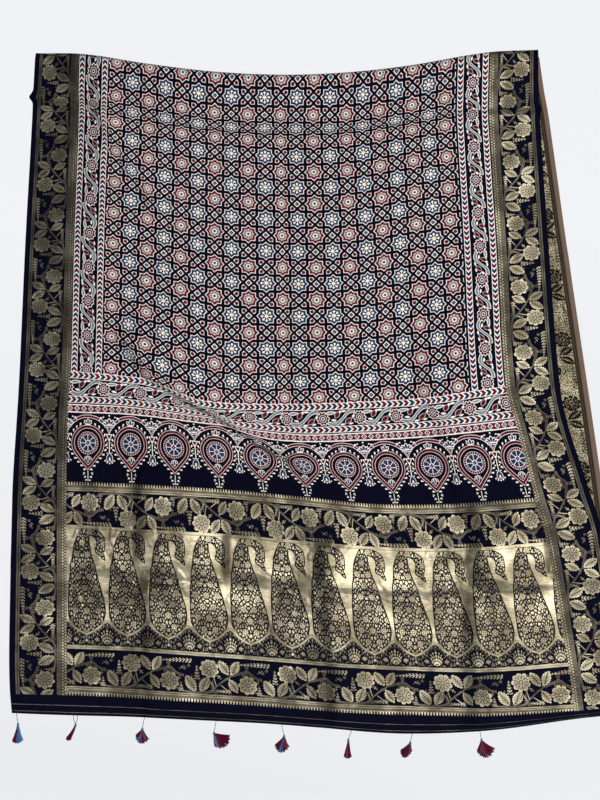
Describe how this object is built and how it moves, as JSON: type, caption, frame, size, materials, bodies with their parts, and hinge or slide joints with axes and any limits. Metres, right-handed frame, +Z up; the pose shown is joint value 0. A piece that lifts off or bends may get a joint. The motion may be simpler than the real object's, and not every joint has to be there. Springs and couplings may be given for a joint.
{
  "type": "hung ajrakh cloth",
  "caption": "Wide printed cloth with woven gold borders and end panel, folded over an unseen line, with small tassels at its front hem.",
  "frame": {"origin": "top of the fold where the line holds the cloth, in the middle of its sag", "axes": "+Z up, -Y out of the face of the front flap, +X to the right seen from the front"},
  "size_m": [1.1593, 0.1113, 1.3294],
  "materials": {
    "printed_cloth": "fine plain weave, block printed and dyed, with woven matt gold thread borders",
    "tassel_yarn": "loose soft yarn with a slight sheen"
  },
  "bodies": {
    "root": {"cloth": "printed_cloth", "tassel_1": "tassel_yarn", "tassel_2": "tassel_yarn", "tassel_3": "tassel_yarn", "tassel_4": "tassel_yarn", "tassel_5": "tassel_yarn", "tassel_6": "tassel_yarn", "tassel_7": "tassel_yarn", "tassel_8": "tassel_yarn"}
  },
  "joints": []
}
